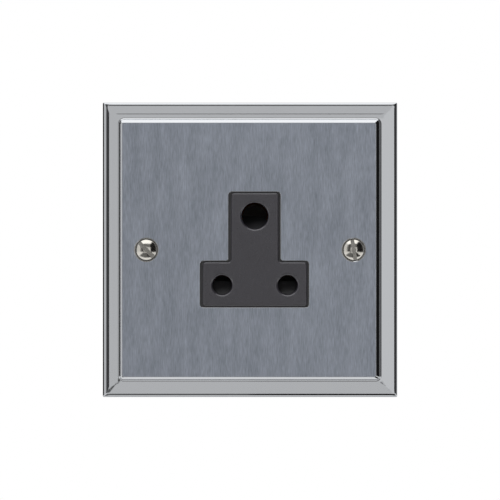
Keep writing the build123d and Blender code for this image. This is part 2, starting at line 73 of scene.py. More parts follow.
# %% Camera
view_width = 145.38 * MM
view_x, view_z = -0.01 * MM, -0.05 * MM
lens, sensor = 185.0, 36.0
plate_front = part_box("face_plate")[0].y
camera = bpy.data.objects.new("camera", bpy.data.cameras.new("camera"))
camera.data.lens, camera.data.sensor_width = lens, sensor
camera.location = (view_x, plate_front - view_width * lens / sensor, view_z)
camera.rotation_euler = (radians(90), 0, 0)
scene.collection.objects.link(camera)
scene.camera = camera
print("camera stands", round(-camera.location.y, 3), "m in front of the wall")

# %% [markdown]
# Small helpers for shader nodes
#
# Colours are written as sRGB hex codes, as a paint program shows them, and one function makes them
# linear for the shader. Another adds a node with its settings. A socket among its inputs is linked, and
# a plain number or colour is set on the node itself. Most finishes here let one noise pattern drift
# both the colour and the roughness, because a scratch or a stain changes the two together, so that has
# a function too.

# %% Helpers for nodes
def linear(code):
    """An sRGB hex code as a linear colour."""
    parts = [int(code[i : i + 2], 16) / 255 for i in (1, 3, 5)]
    return *(p / 12.92 if p <= 0.04045 else ((p + 0.055) / 1.055) ** 2.4 for p in parts), 1.0


def add_node(tree, kind, inputs, **settings):
    """Adds a node to a tree, sets its options, and links or sets each of its inputs."""
    node = tree.nodes.new(kind)
    for name, value in settings.items():
        setattr(node, name, value)
    for name, value in inputs.items():
        if isinstance(value, bpy.types.NodeSocket):
            tree.links.new(value, node.inputs[name])
        else:
            node.inputs[name].default_value = value
    return node


def per_metre(x_mm, y_mm, z_mm):
    """The mapping scale that makes one step of a pattern that many millimetres long on each axis."""
    return tuple(1 / (size * MM) for size in (x_mm, y_mm, z_mm))


def new_finish(name, **sockets):
    """A material with its tree, its shader and the object's own coordinates in metres."""
    material = bpy.data.materials.new(name)
    material.use_nodes = True
    tree = material.node_tree
    shader = tree.nodes["Principled BSDF"]
    for socket, value in sockets.items():
        shader.inputs[socket.replace("_", " ")].default_value = value
    place = add_node(tree, "ShaderNodeTexCoord", {}).outputs["Object"]
    return material, tree, shader, place


def vary(tree, shader, pattern, shades=None, roughness=None, low=0.0, high=1.0):
    """Lets a pattern, from its low to its high value, drift the colour and the roughness."""
    span = {"Value": pattern, "From Min": low, "From Max": high}
    if shades:
        dark, light = (linear(code) for code in shades)
        share = add_node(tree, "ShaderNodeMapRange", span)
        colour = add_node(
            tree, "ShaderNodeMix", {0: share.outputs["Result"], 6: dark, 7: light}, data_type="RGBA"
        )
        tree.links.new(colour.outputs[2], shader.inputs["Base Color"])
    if roughness:
        at_low, at_high = roughness
        rough = add_node(tree, "ShaderNodeMapRange", {**span, "To Min": at_low, "To Max": at_high})
        tree.links.new(rough.outputs["Result"], shader.inputs["Roughness"])


def shown_rays(tree):
    """A socket that is 1 for what is seen, straight or mirrored, and 0 for light that falls on things."""
    path = add_node(tree, "ShaderNodeLightPath", {}).outputs
    mirrored = add_node(
        tree,
        "ShaderNodeMath",
        {0: path["Is Glossy Ray"], 1: path["Is Transmission Ray"]},
        operation="MAXIMUM",
    )
    shown = add_node(
        tree,
        "ShaderNodeMath",
        {0: path["Is Camera Ray"], 1: mirrored.outputs[0]},
        operation="MAXIMUM",
    )
    return shown.outputs[0]


print("helpers ready")

# %% [markdown]
# White surroundings
#
# Bright metal is only as good as what it mirrors, and a photographer would set a white paper sweep
# around the plate. The world here is that sweep. It is pure white to the camera and in mirrors, and
# dimmer for the light that it throws on matt surfaces, which leaves the lamps some shape to give.

# %% White surroundings
room_level = 0.38
world = bpy.data.worlds.new("white_sweep")
world.use_nodes = True
scene.world = world
tree = world.node_tree
tree.nodes.clear()
strength = add_node(
    tree, "ShaderNodeMapRange", {"Value": shown_rays(tree), "To Min": room_level, "To Max": 1.0}
)
sweep = add_node(
    tree, "ShaderNodeBackground", {"Color": linear("#ffffff"), "Strength": strength.outputs["Result"]}
)
add_node(tree, "ShaderNodeOutputWorld", {"Surface": sweep.outputs[0]})
print("room level for matt surfaces:", room_level)

# %% [markdown]
# Cards for the reflections
#
# A polished step is drawn by lines that are really reflections. A photographer hangs grey and black
# cards just out of the picture, and the black ones, called flags, give the dark lines. The cards here
# are flat planes that only reflections can see. Each stands where a part of the step looks: a face that
# leans by some angle mirrors what lies at twice that angle, so the cards are laid out round the plate
# in the order of those angles. Their places, in metres, and their greys were found by trial against the
# photo, so they are no known studio.

# %% Shapes of the cards
front_y = -1.0
tall = 1.2
apron_z = -0.24


def card(name, corners, level):
    """A flat card of an even grey that shows in reflections and nowhere else."""
    mesh = bpy.data.meshes.new(name)
    mesh.from_pydata(corners, [], [(0, 1, 2, 3)])
    material = bpy.data.materials.new(name)
    material.use_nodes = True
    tree = material.node_tree
    tree.nodes.clear()
    glow = add_node(tree, "ShaderNodeEmission", {"Color": (level, level, level, 1), "Strength": 1.0})
    add_node(tree, "ShaderNodeOutputMaterial", {"Surface": glow.outputs[0]})
    mesh.materials.append(material)
    sheet = bpy.data.objects.new(name, mesh)
    scene.collection.objects.link(sheet)
    sheet.visible_camera = sheet.visible_diffuse = sheet.visible_shadow = sheet.visible_transmission = False


def upright(x0, x1, z0, z1, y=front_y):
    """Corners of a card that faces the plate."""
    return [(x0, y, z0), (x1, y, z0), (x1, y, z1), (x0, y, z1)]


def slanted(x0, y0, x1, y1):
    """Corners of a tall card that stands on the line between two places on the floor plan."""
    return [(x0, y0, -tall), (x1, y1, -tall), (x1, y1, tall), (x0, y0, tall)]


def apron(x0, x1, y0, y1):
    """Corners of a card that lies flat just above the floor."""
    return [(x0, y0, apron_z), (x1, y0, apron_z), (x1, y1, apron_z), (x0, y1, apron_z)]


print("front cards stand", -front_y, "m in front of the wall")

# %% Cards in their places
card_half = 0.33
card_right, flag_right = 0.18, 0.47
canopy = [(-0.9, front_y, 0.93), (0.6, front_y, 0.93), (0.6, 0.4, tall), (-0.9, 0.4, tall)]
cards = [
    ("front_card", upright(-card_half, card_right, -card_half, card_half), 0.75),
    ("bright_card", upright(card_right, flag_right, -card_half, card_half), 0.88),
    ("lens_card", upright(-0.15, 0.15, -0.19, 0.13, front_y + 0.02), 0.25),
    ("left_flag", upright(-0.72, -card_half, -tall, tall), 0.07),
    ("grey_card", upright(-1.0, -0.72, -tall, tall), 0.3),
    ("left_card", slanted(-1.0, front_y, -1.19, -0.38), 0.84),
    ("side_flag", slanted(-1.19, -0.38, -1.3, 0.35), 0.03),
    ("back_flag", slanted(-1.3, 0.35, -0.6, 2.0), 0.05),
    ("right_flag", slanted(flag_right, front_y, 1.0, -0.35), 0.012),
    ("right_card", slanted(1.0, -0.35, 1.0, 0.08), 0.3),
    ("dark_side_flag", slanted(1.0, 0.08, 1.0, 0.6), 0.05),
    ("corner_flag", upright(-0.31, -0.16, -0.235, -0.16, front_y + 0.015), 0.12),
    ("top_flag", upright(-1.0, flag_right, card_half, 0.93), 0.2),
    ("top_card", canopy, 1.6),
    ("front_apron", apron(-card_half, card_half, front_y, -0.68), 0.75),
    ("low_flag", apron(-card_half, 0.0, -0.68, -0.17), 0.16),
    ("dark_low_flag", apron(0.0, card_half, -0.68, -0.17), 0.02),
    ("low_card", apron(-card_half, card_half, -0.17, -0.07), 1.1),
    ("back_apron", apron(-card_half, card_half, -0.07, 0.4), 0.68),
]
for name, corners, level in cards:
    card(name, corners, level)
print("cards placed:", len(cards))

# %% [markdown]
# Floor and lamps
#
# The floor lies below the picture, so it only shows in the other views. It is plain and pale. Part of
# its white is given straight to the camera, and the rest is matt so that a soft shadow stays on it. One
# large lamp above and to the left gives the matt pieces a light side, and a second one lights the works
# behind. Neither shows in mirrors, because the cards already decide what the metal reflects.

# %% Floor
floor_half, floor_z = 1.7, -0.25
own_white = 0.6
around = [(-1, -1), (1, -1), (1, 1), (-1, 1)]
floor_corners = [(x * floor_half, y * floor_half, floor_z) for x, y in around]
floor_mesh = bpy.data.meshes.new("floor")
floor_mesh.from_pydata(floor_corners, [], [(0, 1, 2, 3)])
floor_paint = bpy.data.materials.new("matt_white_floor")
floor_paint.use_nodes = True
tree = floor_paint.node_tree
tree.nodes.clear()
share = add_node(tree, "ShaderNodeMath", {0: shown_rays(tree), 1: own_white}, operation="MULTIPLY")
matt = add_node(tree, "ShaderNodeBsdfDiffuse", {"Color": linear("#f4f4f4")})
white = add_node(tree, "ShaderNodeEmission", {"Color": linear("#ffffff"), "Strength": 1.0})
mixed = add_node(
    tree, "ShaderNodeMixShader", {0: share.outputs[0], 1: matt.outputs[0], 2: white.outputs[0]}
)
add_node(tree, "ShaderNodeOutputMaterial", {"Surface": mixed.outputs[0]})
floor_mesh.materials.append(floor_paint)
floor = bpy.data.objects.new("floor", floor_mesh)
scene.collection.objects.link(floor)
print("floor lies", -floor_z, "m below the plate's middle")

# %% Lamps
lamp_size = 0.6
lamps = {"soft_lamp": ((-0.28, -0.6, 0.85), 13.0), "back_lamp": ((0.4, 0.75, 0.6), 9.0)}
for name, (place, watts) in lamps.items():
    lamp = bpy.data.objects.new(name, bpy.data.lights.new(name, "AREA"))
    lamp.data.size, lamp.data.energy = lamp_size, watts
    lamp.location = place
    lamp.rotation_euler = (-Vector(place)).to_track_quat("-Z", "Y").to_euler()
    lamp.visible_glossy = False
    scene.collection.objects.link(lamp)
    print(name, "of", watts, "W")

# %% [markdown]
# Polished chrome
#
# The plate is pressed brass with bright chrome on it, and its stepped border is buffed to a mirror.
# Chrome reflects a little over half the light, with a faint blue. A buffing wheel leaves a haze in
# patches some millimetres across, so the roughness drifts a little around a low value. To the eye that
# is a clear mirror whose lines are not quite equally sharp everywhere.

# %% Polished chrome
haze_mm = 7
polished_chrome, tree, shader, place = new_finish(
    "polished_chrome_plate", Base_Color=linear("#c3c5c8"), Metallic=1.0
)
haze = add_node(tree, "ShaderNodeTexNoise", {"Vector": place, "Scale": 1 / (haze_mm * MM), "Detail": 3.0})
vary(tree, shader, haze.outputs["Fac"], roughness=(0.03, 0.075), low=0.3, high=0.7)
print("made", polished_chrome.name)

# %% [markdown]
# Brushed satin chrome
#
# The flat field is rubbed up and down with a fine abrasive belt before plating. The belt leaves
# scratches a few hundredths of a millimetre wide, far too fine for this picture, so they are drawn
# about a quarter of a millimetre wide and a few millimetres long, with broader bands under them where
# the belt pressed harder. The scratches spread highlights sideways, which is what the shader's
# anisotropy does along the tangent, and to the eye the field becomes an even blue-grey with a faint
# upright grain.

# %% Brushed chrome
brushed_chrome, tree, shader, place = new_finish("brushed_satin_chrome", Metallic=1.0, Anisotropic=0.6)
along = add_node(tree, "ShaderNodeMapping", {"Vector": place, "Scale": per_metre(0.27, 40, 2.8)})
scratches = add_node(
    tree,
    "ShaderNodeTexNoise",
    {"Vector": along.outputs[0], "Scale": 1.0, "Detail": 4.0, "Roughness": 0.62},
)
wide = add_node(tree, "ShaderNodeMapping", {"Vector": place, "Scale": per_metre(3.5, 40, 14)})
bands = add_node(tree, "ShaderNodeTexNoise", {"Vector": wide.outputs[0], "Scale": 1.0, "Detail": 2.0})
both = add_node(
    tree,
    "ShaderNodeMix",
    {"Factor": 0.3, 2: scratches.outputs["Fac"], 3: bands.outputs["Fac"]},
    data_type="FLOAT",
)
vary(tree, shader, both.outputs[0], ("#9aa1ad", "#cad1de"), (0.44, 0.34), low=0.3, high=0.7)
grooves = add_node(
    tree,
    "ShaderNodeBump",
    {"Height": scratches.outputs["Fac"], "Strength": 0.25, "Distance": 0.03 * MM},
)
tree.links.new(grooves.outputs[0], shader.inputs["Normal"])
across = add_node(tree, "ShaderNodeTangent", {}, direction_type="UV_MAP", uv_map="belt")
tree.links.new(across.outputs[0], shader.inputs["Tangent"])
print("made", brushed_chrome.name)

# %% [markdown]
# The plate's unbuffed back
#
# Nobody polishes the side against the wall. Plating over raw pressed sheet comes out dull and a little
# warm, in blotches some millimetres across. A noise of that size drifts both the colour and the
# roughness, and to the eye the back is plain grey metal beside the bright front.

# %% Plate's back
blotch_mm = 5
plated_back, tree, shader, place = new_finish("unbuffed_plated_brass", Metallic=1.0)
blotches = add_node(
    tree,
    "ShaderNodeTexNoise",
    {"Vector": place, "Scale": 1 / (blotch_mm * MM), "Detail": 6.0, "Roughness": 0.6},
)
vary(tree, shader, blotches.outputs["Fac"], ("#8f8c84", "#b4b1a8"), (0.62, 0.4))
print("made", plated_back.name)

# %% [markdown]
# Helpers for meshes
#
# The plate and the screws are built as rings of points joined by bands of faces, which is how a lathe
# or a press would describe them. Weighted normals then let each large flat face keep its own direction,
# so the narrow rolled edges catch the light and the flats stay flat.

# %% Helpers for meshes
def ring_of(bm, outline, y):
    """One closed ring of points from an outline of (x, z) places, all at the same depth."""
    return [bm.verts.new((x, y, z)) for x, z in outline]


def join_rings(bm, first, second, material=0):
    """A band of four-sided faces between two rings with the same number of points."""
    for i in range(len(first)):
        bm.faces.new((first[i - 1], first[i], second[i], second[i - 1])).material_index = material


def join_in_turn(bm, rings, material=0):
    """Bands of faces from each ring to the next one."""
    for first, second in zip(rings, rings[1:]):
        join_rings(bm, first, second, material)


def circle(x, z, radius, steps=48):
    """A circle as an outline of (x, z) places."""
    turns = [2 * pi * i / steps for i in range(steps)]
    return [(x + radius * cos(turn), z + radius * sin(turn)) for turn in turns]


def rounded(corners, radii, steps=8):
    """A closed right-angled outline with each of its corners rounded to its own radius."""
    outline = []
    for i, (corner, radius) in enumerate(zip(corners, radii)):
        point = Vector(corner)
        back = (Vector(corners[i - 1]) - point).normalized()
        ahead = (Vector(corners[(i + 1) % len(corners)]) - point).normalized()
        centre = point + (back + ahead) * radius
        for step in range(steps + 1):
            turn = step / steps * pi / 2
            outline.append(tuple(centre - ahead * radius * cos(turn) - back * radius * sin(turn)))
    return outline


def add_piece(name, bm, materials, node, crease=30):
    """Makes a piece from a mesh, with its finishes, riding on the socket in place of a CAD node."""
    bmesh.ops.recalc_face_normals(bm, faces=bm.faces)
    mesh = bpy.data.meshes.new(name)
    bm.to_mesh(mesh)
    bm.free()
    mesh.shade_smooth()
    mesh.set_sharp_from_angle(angle=radians(crease))
    for material in materials:
        mesh.materials.append(material)
    piece = bpy.data.objects.new(name, mesh)
    scene.collection.objects.link(piece)
    piece.modifiers.new("flat_faces", "WEIGHTED_NORMAL").keep_sharp = True
    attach(piece, "socket")
    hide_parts(node)
    print(name, "has", len(mesh.polygons), "faces")
    return piece


print("mesh helpers ready")

# %% [markdown]
# The profile of the face plate
#
# A press forms the plate from sheet: an outer edge rolled over, a band that rises gently, a sharp step,
# and a raised field with a bevelled edge. All of it is one profile carried round a square, so each
# point of it is kept as the four distances in from the left, low, right and top edges, a depth and a
# corner radius. In the photo the reflections differ from side to side, so here each side has its own
# roll, the top band has a faint crease and the bevel is not equally far in. These were fitted to the
# photo. One photo can't tell whether the real plate is uneven or only its surroundings were.

# %% Profile of the rolled edge
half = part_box("face_plate")[1].x
band_edge, band_slope = -3.6, 0.0964
roll_foot, roll_height, roll_steps = -2.2, 1.59, 24
roll_widths_and_depths = {"left": (2.5, 1.15), "low": (0.95, 0.95), "right": (1.2, 1.0), "top": (0.9, 1.0)}
edge_corner, band_corner = 0.3, 1.4


def roll_inset(y, width, depth):
    """How far in, at a depth, an edge rolled over that width is, or the band that it runs into."""
    turn = atan2(depth, band_slope * width)
    band = band_edge - band_slope * width * (1 - cos(turn))
    if y <= band:
        return (band_edge - y) / band_slope
    lift = max(0.0, (band + depth * sin(turn) - y) / depth)
    return width - width * (1 - lift**2) ** 0.5


profile = [([0.0] * 4, 0.0, edge_corner)]
for step in range(roll_steps + 1):
    share = step / roll_steps
    y = roll_foot - roll_height * sin(share * pi / 2)
    insets = [roll_inset(y, *roll) for roll in roll_widths_and_depths.values()]
    profile.append((insets, y, edge_corner + (band_corner - edge_corner) * share**2))
print("points of the rolled edge:", len(profile))

# %% Profile of the step
# Millimetres on the left, low, right and top sides.
step_shift = (0.0, 0.11, 0.11, 0.0)
bevel_shift = (-0.15, 0.0, 0.32, 0.12)
crease_start, crease_width, crease_lift, crease_steps = 3.13, 1.0, 0.0082, 12
crease_corner, crease_widening = 0.6, 0.8
foot, foot_radius, foot_steps, foot_corner = 4.52, 0.6, 10, 1.7
wall_turn, bevel_turn = radians(82), radians(30)
lip_inset, lip_depth, lip_radius, lip_steps, lip_corner = 5.388, -5.472, 0.2, 4, 1.05
field_depth = -6.0
# Inset, depth and corner of the last rings, where the bevel meets the flat field.
field_rim = [(5.88, field_depth + 0.015, 0.6), (5.93, field_depth, 0.55), (6.0, field_depth, 0.5)]


def step_insets(inset, share, bevel_share=0.0):
    """The insets of the step on the four sides, which differ a little."""
    return [inset + share * step + bevel_share * bevel for step, bevel in zip(step_shift, bevel_shift)]


for step in range(crease_steps + 1):
    along = step / crease_steps
    inset = crease_start + crease_width * along
    lift = crease_lift * (1 - cos(2 * pi * along)) / 2
    *plain, top = step_insets(inset, along)
    insets = [value + lift / band_slope for value in plain] + [top]
    profile.append((insets, band_edge - band_slope * inset - lift, crease_corner + crease_widening * along))
slope_turn = atan(band_slope)
for step in range(foot_steps + 1):
    turn = slope_turn + step / foot_steps * (wall_turn - slope_turn)
    insets = step_insets(foot + foot_radius * (sin(turn) - sin(slope_turn)), 1.0)
    y = band_edge - band_slope * foot - foot_radius * (cos(slope_turn) - cos(turn))
    profile.append((insets, y, foot_corner - 0.06 * step))
for step in range(lip_steps + 1):
    turn = wall_turn + (bevel_turn - wall_turn) * step / lip_steps
    insets = step_insets(lip_inset - lip_radius * sin(turn), 1.0, 0.1 * step)
    profile.append((insets, lip_depth - lip_radius * cos(turn), lip_corner - 0.04 * step))
for inset, y, corner in field_rim:
    profile.append((step_insets(inset, 1.0, 1.0), y, corner))
print("points of the whole profile:", len(profile))

# %% [markdown]
# The face plate
#
# The profile becomes square rings, and the opening for the insert and the two countersunk screw holes
# are rings of their own. The field is filled between them. The hollow back follows in the same way,
# with its two posts for the mechanism's screws. Building rings one by one takes more lines than a
# subdivided cube would, but each edge gets its true small radius, and that is what draws a line of
# light. A flat map named belt tells the brushed finish which way the belt ran.

# %% Outlines of the plate
back_depth = -4.2
opening_x, base_half, stem_half = 1.31, 15.745, 7.5
opening_low, opening_shoulder, opening_top = -16.703, -3.243, 16.833
opening_corner = 0.9
inner_corners = (3, 6)
screw_x = 30.15 * MM
right_x, left_x = 18.125, -15.285
upper_post_z, lower_post_z = 26.3, -26.7


def square(insets_mm, corner_mm):
    """A rounded square outline, a distance in from the plate's left, low, right and top edges."""
    left, low, right, top = (half - inset * MM for inset in insets_mm)
    corners = [(-left, -low), (right, -low), (right, top), (-left, top)]
    return rounded(corners, [corner_mm * MM] * 4)


def insert_opening(grow_mm):
    """The upside-down T of the opening, grown by a distance all round."""
    base, stem = base_half + grow_mm, stem_half + grow_mm
    low, shoulder, top = opening_low - grow_mm, opening_shoulder + grow_mm, opening_top + grow_mm
    corners = [
        (opening_x - base, low),
        (opening_x + base, low),
        (opening_x + base, shoulder),
        (opening_x + stem, shoulder),
        (opening_x + stem, top),
        (opening_x - stem, top),
        (opening_x - stem, shoulder),
        (opening_x - base, shoulder),
    ]
    radii = [opening_corner + (-grow_mm if i in inner_corners else grow_mm) for i in range(len(corners))]
    return rounded([(x * MM, z * MM) for x, z in corners], [radius * MM for radius in radii])


print("plate is", round(2 * half / MM, 1), "mm square")

# %% Front of the plate
rim_radius, rim_steps = 0.2, 5
# Radius and depth of each ring of a countersunk hole, in millimetres from the front to the back.
sink_profile = [(3.58, field_depth), (3.53, -5.985), (3.49, -5.94), (2.0, -4.5), (2.0, back_depth)]
polished, brushed, unbuffed = 0, 1, 2
bm = bmesh.new()
rings = [ring_of(bm, square(insets, corner), y * MM) for insets, y, corner in profile]
join_in_turn(bm, rings, polished)

opening = []
for step in range(rim_steps + 1):
    turn = step / rim_steps * pi / 2
    outline = insert_opening(rim_radius - rim_radius * sin(turn))
    opening.append(ring_of(bm, outline, (field_depth + rim_radius - rim_radius * cos(turn)) * MM))
opening.append(ring_of(bm, insert_opening(0.0), back_depth * MM))
join_in_turn(bm, opening, polished)

sinks = []
for side in (-1, 1):
    sink = [ring_of(bm, circle(side * screw_x, 0, radius * MM), y * MM) for radius, y in sink_profile]
    join_in_turn(bm, sink, polished)
    sinks.append(sink)
print("front rings:", len(rings) + len(opening) + sum(map(len, sinks)))

# %% Back of the plate
# Inset, depth and corner of the hollow, and radius and depth of the posts, in millimetres.
hollow_profile = [(2.0, 0.0, 0.5), (2.0, -1.8, 0.5), (7.0, -1.8, 0.8), (7.0, back_depth, 0.8)]
post_profile = [
    (3.3, back_depth),
    (3.08, -4.12),
    (3.0, -3.9),
    (3.0, -1.4),
    (2.8, -1.2),
    (1.7, -1.2),
    (1.54, -1.36),
    (1.54, -4.1),
]
hollow = [ring_of(bm, square([inset] * 4, corner), y * MM) for inset, y, corner in hollow_profile]
join_rings(bm, rings[0], hollow[0], unbuffed)
join_in_turn(bm, hollow, unbuffed)

posts = []
for x, z in ((right_x, upper_post_z), (left_x, lower_post_z)):
    post = [ring_of(bm, circle(x * MM, z * MM, radius * MM, 32), y * MM) for radius, y in post_profile]
    join_in_turn(bm, post, unbuffed)
    bm.faces.new(post[-1]).material_index = unbuffed
    posts.append(post)
print("back rings:", len(hollow) + sum(map(len, posts)))

# %% Face plate
def fill_between(bm, bounds_of_face, material):
    """Fills one flat face inside its first ring and around the other rings."""
    edges = [bm.edges.get((ring[i - 1], ring[i])) for ring in bounds_of_face for i in range(len(ring))]
    made = bmesh.ops.triangle_fill(bm, edges=edges, use_beauty=True)
    for face in made["geom"]:
        if isinstance(face, bmesh.types.BMFace):
            face.material_index = material


fill_between(bm, [rings[-1], opening[0], sinks[0][0], sinks[1][0]], brushed)
back_rings = [hollow[-1], opening[-1], sinks[0][-1], sinks[1][-1], posts[0][0], posts[1][0]]
fill_between(bm, back_rings, unbuffed)
belt = bm.loops.layers.uv.new("belt")
for face in bm.faces:
    for corner in face.loops:
        corner[belt].uv = (corner.vert.co.x / (2 * half) + 0.5, corner.vert.co.z / (2 * half) + 0.5)
plate_finishes = [polished_chrome, brushed_chrome, plated_back]
add_piece("stepped_face_plate", bm, plate_finishes, "face_plate")

# %% [markdown]
# How a screw is made
#
# Every screw here is turned on a lathe, slotted with a saw and threaded with a die. The same three
# steps make the mesh: a profile spun round an axis, a box cut out of the head with a Boolean, and a
# helical ridge wound on the shank. The ridge is a strip of four points carried along the helix, and it
# tapers out at both ends. A small bevel after the Boolean gives the slot the worn edges that catch the
# light.

# %% Turning and slotting
worn_edge = 0.05 * MM


def spin(bm, x, z, profile, steps=64):
    """A turned solid from (radius, depth) points in millimetres. It starts and ends on its axis."""
    first = bm.verts.new((x, profile[0][1] * MM, z))
    last = bm.verts.new((x, profile[-1][1] * MM, z))
    turned = [ring_of(bm, circle(x, z, radius * MM, steps), y * MM) for radius, y in profile[1:-1]]
    for i in range(steps):
        bm.faces.new((first, turned[0][i - 1], turned[0][i]))
        bm.faces.new((last, turned[-1][i], turned[-1][i - 1]))
    join_in_turn(bm, turned)


def saw_blade(x, z, angle, width, low, high, reach):
    """A box between two depths that lies across an axis at an angle."""
    along, over = Vector((-sin(angle), 0, cos(angle))), Vector((cos(angle), 0, sin(angle)))
    saw = bmesh.new()
    ends = []
    for y in (low, high):
        middle = Vector((x, y * MM, z))
        sides = [(-1, -1), (1, -1), (1, 1), (-1, 1)]
        places = [middle + over * (a * width / 2 * MM) + along * (b * reach * MM) for a, b in sides]
        ends.append([saw.verts.new(place) for place in places])
    join_rings(saw, *ends)
    saw.faces.new(ends[0])
    saw.faces.new(ends[1])
    return saw


def cut_slot(bm, saw):
    """The mesh of a turned solid after the saw has gone through its head."""
    solids = []
    for shape, name in ((bm, "turned"), (saw, "saw")):
        bmesh.ops.recalc_face_normals(shape, faces=shape.faces)
        mesh = bpy.data.meshes.new(name)
        shape.to_mesh(mesh)
        shape.free()
        solids.append(bpy.data.objects.new(name, mesh))
        scene.collection.objects.link(solids[-1])
    cut = solids[0].modifiers.new("slot", "BOOLEAN")
    cut.object, cut.operation, cut.solver = solids[1], "DIFFERENCE", "EXACT"
    edge = solids[0].modifiers.new("worn_edges", "BEVEL")
    edge.width, edge.segments, edge.limit_method, edge.angle_limit = worn_edge, 2, "ANGLE", radians(40)
    seen = solids[0].evaluated_get(bpy.context.evaluated_depsgraph_get())
    result = bpy.data.meshes.new_from_object(seen)
    for solid in solids:
        bpy.data.objects.remove(solid)
    return result


print("lathe and saw ready")

# %% Threading
sunk = 0.03
crest_from, crest_to = 0.42, 0.58


def wind_thread(bm, x, z, root, crest, pitch, start, end, steps=28):
    """A helical ridge on a shank between two depths, fading out over its first and last turn."""
    turns = (end - start) / pitch - 1
    rows = []
    for i in range(int(turns * steps) + 1):
        turn = i / steps
        fade = min(1.0, turn, turns - turn)
        height = root + (crest - root) * max(fade, 0.0)
        y = start + pitch * turn
        angle = 2 * pi * turn
        across = [
            (root - sunk, 0.0),
            (height, crest_from * pitch),
            (height, crest_to * pitch),
            (root - sunk, pitch),
        ]
        places = [(x + r * MM * cos(angle), (y + a) * MM, z + r * MM * sin(angle)) for r, a in across]
        rows.append([bm.verts.new(place) for place in places])
    for one, two in zip(rows, rows[1:]):
        for k in range(len(one) - 1):
            bm.faces.new((one[k], one[k + 1], two[k + 1], two[k]))


print("die ready")

# %% [markdown]
# Plated screws of the face plate
#
# The two screws that hold the plate look a little warmer than its chrome, so they are taken as brass
# with bright nickel. They have raised countersunk heads and straight slots, left wherever the
# screwdriver stopped. Nickel takes a soft polish and picks up scuffs under a millimetre across, so the
# finish is a mirror a little less clear than the border.

# %% Nickel-plated brass
scuff_mm = 0.9
nickel, tree, shader, place = new_finish("bright_nickel_plate", Metallic=1.0)
scuffs = add_node(
    tree,
    "ShaderNodeTexNoise",
    {"Vector": place, "Scale": 1 / (scuff_mm * MM), "Detail": 5.0, "Roughness": 0.6},
)
vary(tree, shader, scuffs.outputs["Fac"], ("#bdb9b0", "#dedbd5"), (0.08, 0.24))
print("made", nickel.name)

# %% Plate screws
head_top, dome_radius, dome_edge, dome_steps = -6.82, 4.955, 3.0, 12
head_radius, neck, root, crest, pitch, tip = 3.05, 1.5, 1.4, 1.75, 0.6, 19.0
slot_width, slot_floor, slot_angles = 1.1, -5.82, {-1: 45, 1: 9}
saw_top, saw_reach = -8.0, 4.0
thread_start = -3.7
# Radius and depth of the turned profile in millimetres: the dome, the rim, the cone, the neck, the shank.
head = [(0.0, head_top)]
for step in range(1, dome_steps + 1):
    radius = dome_edge * step / dome_steps
    head.append((radius, head_top + dome_radius - (dome_radius**2 - radius**2) ** 0.5))
head += [(head_radius, -5.75), (head_radius, -5.62), (neck, -4.07), (neck, thread_start)]
head += [(root, thread_start + 0.1), (root, tip - 0.5), (root - 0.4, tip), (0.0, tip)]
bm = bmesh.new()
for side, angle in slot_angles.items():
    turned = bmesh.new()
    spin(turned, side * screw_x, 0, head)
    saw = saw_blade(side * screw_x, 0, radians(angle), slot_width, saw_top, slot_floor, saw_reach)
    bm.from_mesh(cut_slot(turned, saw))
    wind_thread(bm, side * screw_x, 0, root, crest, pitch, thread_start, tip - 0.3)
add_piece("plate_fixing_screws", bm, [nickel], "plate_screws")

# %% [markdown]
# Screws and washers behind the plate
#
# The terminals clamp their wires with brass screws. Zinc-plated steel screws join the two mouldings and
# hold the mechanism to the plate's posts. All have cheese heads: a short drum with a slot. Brass that
# was drawn through a die shows fine lines along its length, drawn here about ten times coarser than
# real ones, and zinc plate shows pale blue and straw patches from its passivating bath. Under the heads
# on the posts sit toothed washers, whose twisted teeth bite into the metal and keep the earth path
# sound. Each tooth is a small box twisted about its root.

# %% Brass and zinc-plated steel
drawn_brass, tree, shader, place = new_finish("drawn_brass", Metallic=1.0)
stretched = add_node(tree, "ShaderNodeMapping", {"Vector": place, "Scale": per_metre(2.5, 0.3, 0.3)})
lines = add_node(tree, "ShaderNodeTexNoise", {"Vector": stretched.outputs[0], "Scale": 1.0, "Detail": 4.0})
vary(tree, shader, lines.outputs["Fac"], ("#b98f45", "#dfbd74"), (0.2, 0.42))

patch_mm = 1.2
zinc_plate, tree, shader, place = new_finish("zinc_plated_steel", Metallic=1.0)
patches = add_node(
    tree,
    "ShaderNodeTexNoise",
    {"Vector": place, "Scale": 1 / (patch_mm * MM), "Detail": 5.0, "Roughness": 0.6},
)
vary(tree, shader, patches.outputs["Fac"], ("#9fa5ad", "#cfcdc6"), (0.24, 0.46))
print("made", drawn_brass.name, "and", zinc_plate.name)

# %% Cheese-head screws
rim, rim_middle, under_edge = 0.3, 0.09, 0.1
thread_depth, run_out, point_length, point_depth = 0.6, 0.2, 0.4, 0.35
cheese_slot_width, cheese_slot_depth, cheese_slot_angle = 0.8, 0.9, radians(-65)


def cheese_screws(name, places, material, node, head_radius, head_height, shank, pitch):
    """Slotted screws driven towards the room, from (x, z, underside of the head, tip) in millimetres."""
    bm = bmesh.new()
    root = shank - thread_depth * pitch
    for x_mm, z_mm, under, tip in places:
        x, z, top = x_mm * MM, z_mm * MM, under + head_height
        outline = [
            (0.0, top),
            (head_radius - rim, top),
            (head_radius - rim_middle, top - rim_middle),
            (head_radius, top - rim),
            (head_radius, under + under_edge),
            (head_radius - under_edge, under),
            (shank, under),
            (root, under - run_out),
            (root, tip + point_length),
            (root - point_depth, tip),
            (0.0, tip),
        ]
        turned = bmesh.new()
        spin(turned, x, z, outline, 48)
        slot_floor, above, reach = top - cheese_slot_depth, top + 1.0, head_radius + 1
        saw = saw_blade(x, z, cheese_slot_angle, cheese_slot_width, slot_floor, above, reach)
        bm.from_mesh(cut_slot(turned, saw))
        wind_thread(bm, x, z, root, shank, pitch, tip + 0.1, under - 0.1, 24)
    return add_piece(name, bm, [material], node)


